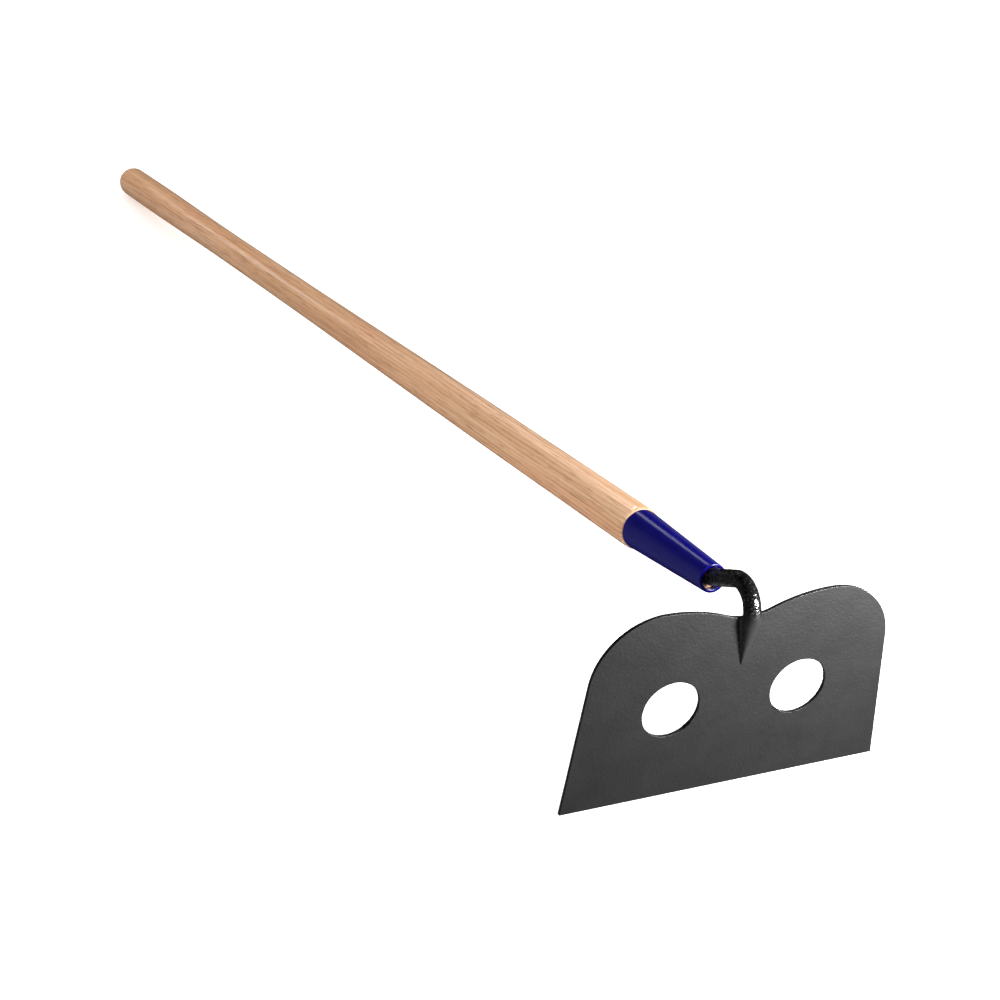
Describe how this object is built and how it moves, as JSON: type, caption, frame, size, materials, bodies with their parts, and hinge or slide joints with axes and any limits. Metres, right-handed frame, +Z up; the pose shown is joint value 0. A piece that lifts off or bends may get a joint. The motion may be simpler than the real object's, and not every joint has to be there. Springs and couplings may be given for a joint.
{
  "type": "mortar mixing hoe",
  "caption": "Long-handled mortar hoe: thin heart-topped steel blade with round mixing holes, gooseneck shank welded to it, tapered ferrule and straight ash handle.",
  "frame": {"origin": "middle of the blade's outer bottom corner, the line that the hoe stands on when it lies on the ground with its butt end down", "axes": "+X along the cutting edge, +Y from the blade towards the butt end of the handle, +Z up from the ground; the blade leans 5.34 degrees towards -Y, as it does when the butt end rests on the ground"},
  "size_m": [0.254, 1.4321, 0.1656],
  "materials": {
    "ash_wood": "clear-varnished ash with long straight grain",
    "blue_paint": "glossy deep blue enamel on steel tube",
    "bright_steel": "plain bright steel nail",
    "black_forging": "glossy black lacquer over hammered forging",
    "black_plate": "satin dark grey coating with a fine orange-peel texture",
    "black_weld": "black lacquer over weld fillets"
  },
  "bodies": {
    "root": {"handle": "ash_wood", "ferrule": "blue_paint", "ferrule_nail": "bright_steel", "shank": "black_forging", "blade": "black_plate", "weld_bead_left": "black_weld", "weld_bead_right": "black_weld"}
  },
  "joints": []
}
